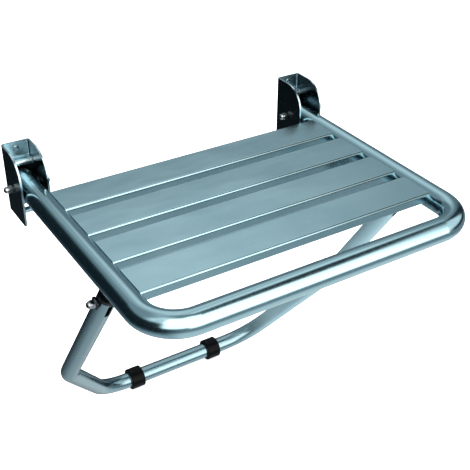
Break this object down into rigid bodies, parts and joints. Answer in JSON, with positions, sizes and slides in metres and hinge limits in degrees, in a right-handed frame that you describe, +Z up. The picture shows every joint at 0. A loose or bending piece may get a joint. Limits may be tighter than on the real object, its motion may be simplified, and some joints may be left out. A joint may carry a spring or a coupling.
{
  "type": "fold-down shower seat",
  "caption": "Wall-mounted folding shower seat: a bent tube frame with flat slats hinges in two wall brackets and is propped by a swinging bent-tube leg with buffer rings.",
  "frame": {"origin": "centre of the rectangle of the four wall screws, in the plane of the wall", "axes": "+X along the wall to the right as seen from the room, +Y into the wall, +Z up"},
  "size_m": [0.5062, 0.4187, 0.4829],
  "materials": {
    "tube_steel": "satin stainless tube",
    "slat_steel": "satin stainless flat tube",
    "bracket_steel": "satin stainless sheet",
    "fastener_steel": "polished stainless",
    "black_rubber": "matt",
    "black_nylon": "matt"
  },
  "bodies": {
    "wall_brackets": {"wall_bracket_left": "bracket_steel", "stop_rod_left": "bracket_steel", "rest_rod_left": "bracket_steel", "hinge_stud_left": "fastener_steel", "hinge_washers_left": "fastener_steel", "hinge_nut_left_outer": "fastener_steel", "hinge_nut_left_inner": "fastener_steel", "wall_bracket_right": "bracket_steel", "stop_rod_right": "bracket_steel", "rest_rod_right": "bracket_steel", "hinge_stud_right": "fastener_steel", "hinge_washers_right": "fastener_steel", "hinge_nut_right_outer": "fastener_steel", "hinge_nut_right_inner": "fastener_steel"},
    "seat": {"seat_frame": "tube_steel", "slat_1": "slat_steel", "slat_2": "slat_steel", "slat_3": "slat_steel", "slat_4": "slat_steel", "hinge_sleeve_left": "tube_steel", "hinge_bush_left_outer": "black_nylon", "hinge_bush_left_inner": "black_nylon", "end_plug_left": "black_nylon", "prop_lug_left": "tube_steel", "lug_bush_left": "black_nylon", "hinge_sleeve_right": "tube_steel", "hinge_bush_right_outer": "black_nylon", "hinge_bush_right_inner": "black_nylon", "end_plug_right": "black_nylon", "prop_lug_right": "tube_steel", "lug_bush_right": "black_nylon"},
    "prop": {"prop_leg": "tube_steel", "prop_stud_left": "fastener_steel", "prop_washers_left": "black_nylon", "prop_nut_left_outer": "fastener_steel", "prop_nut_left_inner": "fastener_steel", "slot_liner_left": "black_nylon", "buffer_ring_left": "black_rubber", "ring_pin_left": "black_nylon", "prop_stud_right": "fastener_steel", "prop_washers_right": "black_nylon", "prop_nut_right_outer": "fastener_steel", "prop_nut_right_inner": "fastener_steel", "slot_liner_right": "black_nylon", "buffer_ring_right": "black_rubber", "ring_pin_right": "black_nylon"}
  },
  "joints": [
    {"name": "seat_fold", "type": "hinge", "parent": "wall_brackets", "child": "seat", "pos_m": [0, -0.0285, -0.005], "axis": [-1, 0, 0], "range_deg": [0, 90]},
    {"name": "prop_swing", "type": "hinge", "parent": "seat", "child": "prop", "pos_m": [0, -0.2712, -0.042], "axis": [1, 0, 0], "range_deg": [0, 52]}
  ],
  "couplings": [
    {"joint": "prop_swing", "follows": "seat_fold", "ratio": 0.575}
  ]
}
